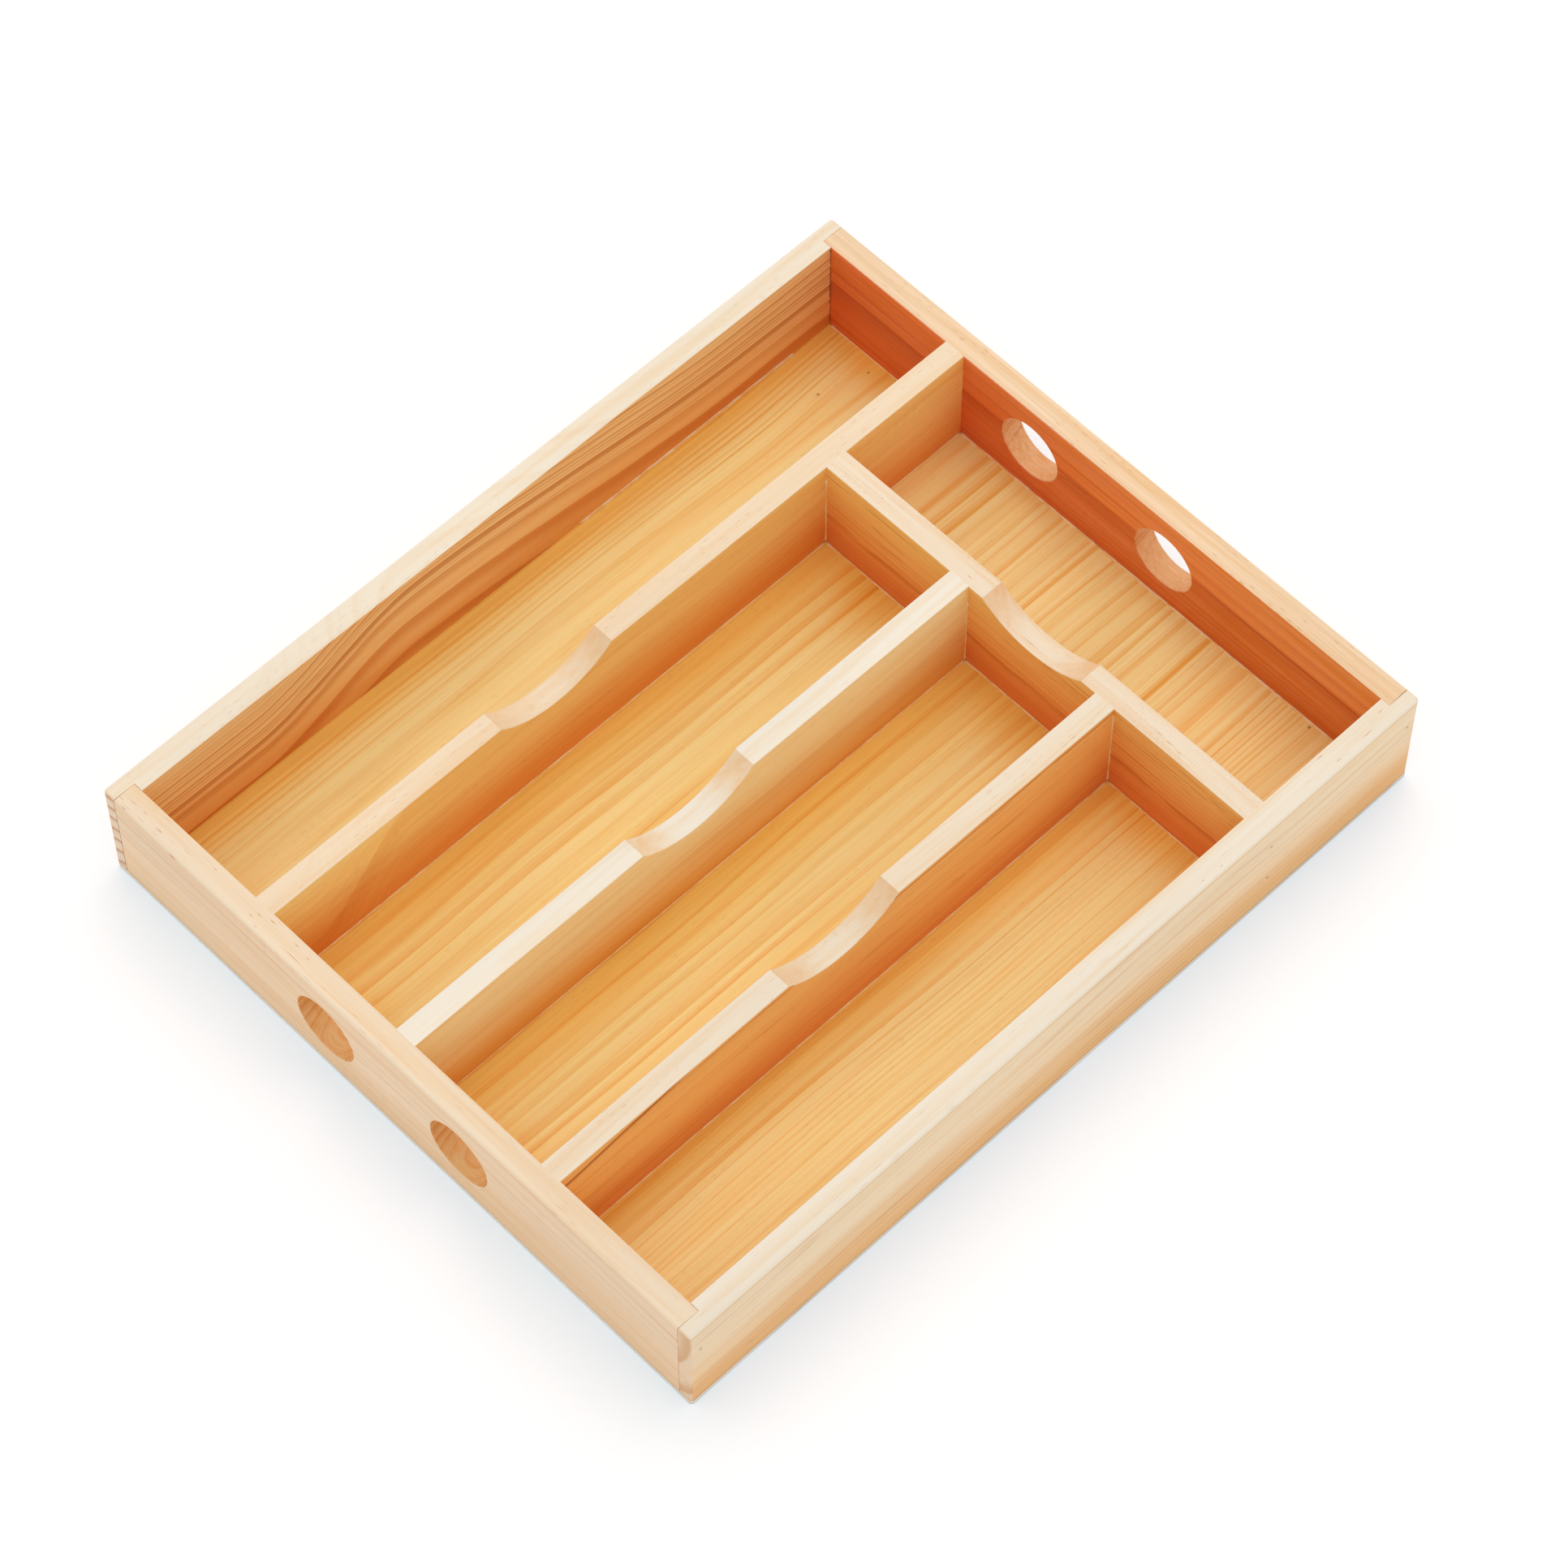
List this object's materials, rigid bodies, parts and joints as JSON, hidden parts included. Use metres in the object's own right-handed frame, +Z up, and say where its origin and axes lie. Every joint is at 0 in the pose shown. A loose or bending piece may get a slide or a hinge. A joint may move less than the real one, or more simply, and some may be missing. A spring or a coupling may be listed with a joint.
{
  "type": "cutlery tray",
  "caption": "Flat rectangular pine cutlery tray: rebated frame with round finger holes in its ends, thin base and scooped dividers that part knives, forks, spoons and teaspoons.",
  "frame": {"origin": "middle of the underside of the base, on the surface that the tray stands on", "axes": "+Y along the tray from the front end to the back end with the teaspoon compartment, +X across it from the knife compartment, +Z up"},
  "size_m": [0.262, 0.316, 0.045],
  "materials": {
    "left_side_pine": "satin clear lacquer",
    "right_side_pine": "satin clear lacquer",
    "front_end_pine": "satin clear lacquer",
    "back_end_pine": "satin clear lacquer",
    "base_sheet": "satin clear lacquer",
    "long_divider_pine": "satin clear lacquer",
    "cross_divider_pine": "satin clear lacquer",
    "left_short_divider_pine": "satin clear lacquer",
    "right_short_divider_pine": "satin clear lacquer",
    "steel_wire": "plain drawn wire"
  },
  "bodies": {
    "root": {"left_side": "left_side_pine", "right_side": "right_side_pine", "front_end": "front_end_pine", "back_end": "back_end_pine", "base_panel": "base_sheet", "long_divider": "long_divider_pine", "cross_divider": "cross_divider_pine", "left_short_divider": "left_short_divider_pine", "right_short_divider": "right_short_divider_pine", "corner_brads": "steel_wire", "divider_brads": "steel_wire", "base_staples": "steel_wire"}
  },
  "joints": []
}
